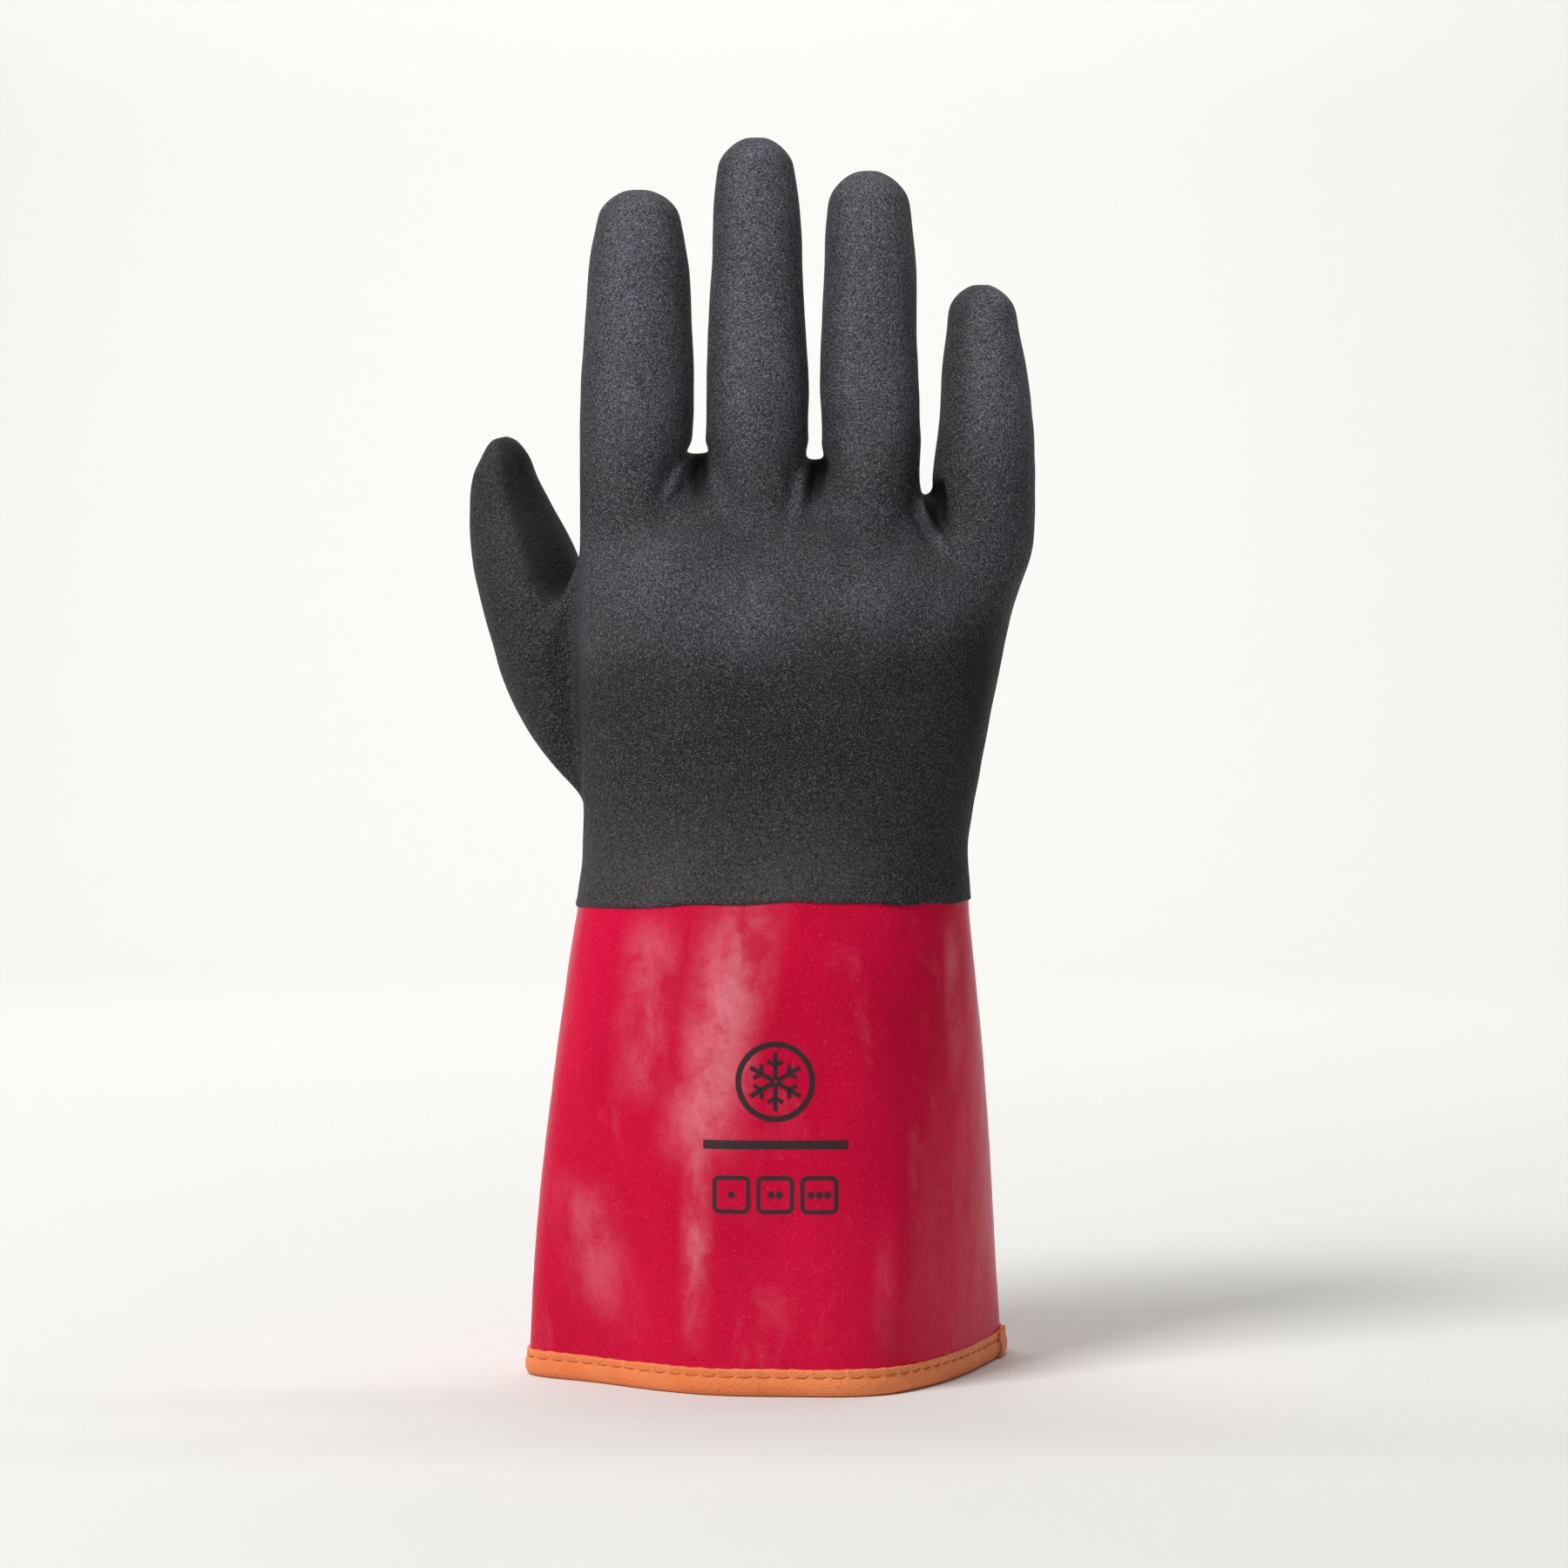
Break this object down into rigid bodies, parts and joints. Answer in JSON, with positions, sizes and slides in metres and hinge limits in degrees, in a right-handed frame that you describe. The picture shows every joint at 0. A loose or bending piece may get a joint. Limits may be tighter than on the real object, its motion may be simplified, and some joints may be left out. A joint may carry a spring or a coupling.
{
  "type": "dipped gauntlet glove",
  "caption": "Right-hand dipped gauntlet glove for cold and chemical handling, with a sandy black coat over the hand, a long red cuff and a bound hem.",
  "frame": {"origin": "centre of the bottom of the box round the glove, on the plane that the hem stands on", "axes": "+Z from the hem towards the fingertips, -Y out of the back of the hand, -X towards the thumb"},
  "size_m": [0.1402, 0.0915, 0.3],
  "materials": {
    "black_coat": "sandy foam-textured black coat, matte with a faint sheen",
    "red_coat": "glossy red PVC with a fine grain and a pale dusty bloom",
    "knit_liner": "brushed off-white knit",
    "cuff_fabric": "off-white knit backing",
    "orange_tape": "soft orange binding tape with a leather-like grain",
    "orange_thread": "twisted reddish-orange sewing thread"
  },
  "bodies": {
    "cuff": {"cuff_base_coat": "red_coat", "cuff_fabric_lining": "cuff_fabric", "coat_hem_outer_coat": "black_coat", "hem_binding": "orange_tape", "binding_lap": "orange_tape", "needle_thread": "orange_thread", "bobbin_thread": "orange_thread"},
    "wrist": {"wrist_outer_coat": "black_coat", "wrist_base_coat": "red_coat", "wrist_liner": "knit_liner"},
    "hand": {"hand_outer_coat": "black_coat", "hand_base_coat": "red_coat", "hand_liner": "knit_liner"},
    "index_base": {"index_base_outer_coat": "black_coat", "index_base_base_coat": "red_coat", "index_base_liner": "knit_liner"},
    "index_tip": {"index_tip_outer_coat": "black_coat", "index_tip_base_coat": "red_coat", "index_tip_liner": "knit_liner"},
    "middle_base": {"middle_base_outer_coat": "black_coat", "middle_base_base_coat": "red_coat", "middle_base_liner": "knit_liner"},
    "middle_tip": {"middle_tip_outer_coat": "black_coat", "middle_tip_base_coat": "red_coat", "middle_tip_liner": "knit_liner"},
    "ring_base": {"ring_base_outer_coat": "black_coat", "ring_base_base_coat": "red_coat", "ring_base_liner": "knit_liner"},
    "ring_tip": {"ring_tip_outer_coat": "black_coat", "ring_tip_base_coat": "red_coat", "ring_tip_liner": "knit_liner"},
    "little_base": {"little_base_outer_coat": "black_coat", "little_base_base_coat": "red_coat", "little_base_liner": "knit_liner"},
    "little_tip": {"little_tip_outer_coat": "black_coat", "little_tip_base_coat": "red_coat", "little_tip_liner": "knit_liner"},
    "thumb_base": {"thumb_base_outer_coat": "black_coat", "thumb_base_base_coat": "red_coat", "thumb_base_liner": "knit_liner"},
    "thumb_tip": {"thumb_tip_outer_coat": "black_coat", "thumb_tip_base_coat": "red_coat", "thumb_tip_liner": "knit_liner"}
  },
  "joints": [
    {"name": "wrist_flexion", "type": "hinge", "parent": "cuff", "child": "wrist", "pos_m": [0.00674, 0.03069, 0.124], "axis": [-1, 0, 0], "range_deg": [0, 50], "stiffness_Nm_per_rad": 1.6},
    {"name": "wrist_extension", "type": "hinge", "parent": "wrist", "child": "hand", "pos_m": [0.00732, -0.03023, 0.136], "axis": [-1, 0, 0], "range_deg": [-45, 0], "stiffness_Nm_per_rad": 1.6},
    {"name": "index_knuckle", "type": "hinge", "parent": "hand", "child": "index_base", "pos_m": [-0.02757, 0.01127, 0.228], "axis": [-1, 0, 0], "range_deg": [0, 80], "stiffness_Nm_per_rad": 0.08},
    {"name": "index_middle_joint", "type": "hinge", "parent": "index_base", "child": "index_tip", "pos_m": [-0.02757, 0.01174, 0.252], "axis": [-1, 0, 0], "range_deg": [0, 90], "stiffness_Nm_per_rad": 0.05},
    {"name": "middle_knuckle", "type": "hinge", "parent": "hand", "child": "middle_base", "pos_m": [0.00244, 0.01037, 0.2275], "axis": [-1, 0, 0], "range_deg": [0, 80], "stiffness_Nm_per_rad": 0.08},
    {"name": "middle_middle_joint", "type": "hinge", "parent": "middle_base", "child": "middle_tip", "pos_m": [0.00244, 0.01058, 0.2575], "axis": [-1, 0, 0], "range_deg": [0, 90], "stiffness_Nm_per_rad": 0.05},
    {"name": "ring_knuckle", "type": "hinge", "parent": "hand", "child": "ring_base", "pos_m": [0.03024, 0.01005, 0.227], "axis": [-1, 0, 0], "range_deg": [0, 80], "stiffness_Nm_per_rad": 0.08},
    {"name": "ring_middle_joint", "type": "hinge", "parent": "ring_base", "child": "ring_tip", "pos_m": [0.03024, 0.01063, 0.253], "axis": [-1, 0, 0], "range_deg": [0, 90], "stiffness_Nm_per_rad": 0.05},
    {"name": "little_knuckle", "type": "hinge", "parent": "hand", "child": "little_base", "pos_m": [0.05743, 0.0103, 0.219], "axis": [-1, 0, 0], "range_deg": [0, 80], "stiffness_Nm_per_rad": 0.08},
    {"name": "little_middle_joint", "type": "hinge", "parent": "little_base", "child": "little_tip", "pos_m": [0.05743, 0.01029, 0.2385], "axis": [-1, 0, 0], "range_deg": [0, 90], "stiffness_Nm_per_rad": 0.05},
    {"name": "thumb_root", "type": "hinge", "parent": "hand", "child": "thumb_base", "pos_m": [-0.04292, 0.02909, 0.1706], "axis": [0.5299, 0, 0.848], "range_deg": [-35, 0], "stiffness_Nm_per_rad": 0.1},
    {"name": "thumb_middle_joint", "type": "hinge", "parent": "thumb_base", "child": "thumb_tip", "pos_m": [-0.05459, 0.03745, 0.19474], "axis": [0.8896, 0, 0.4568], "range_deg": [-60, 0], "stiffness_Nm_per_rad": 0.05}
  ]
}
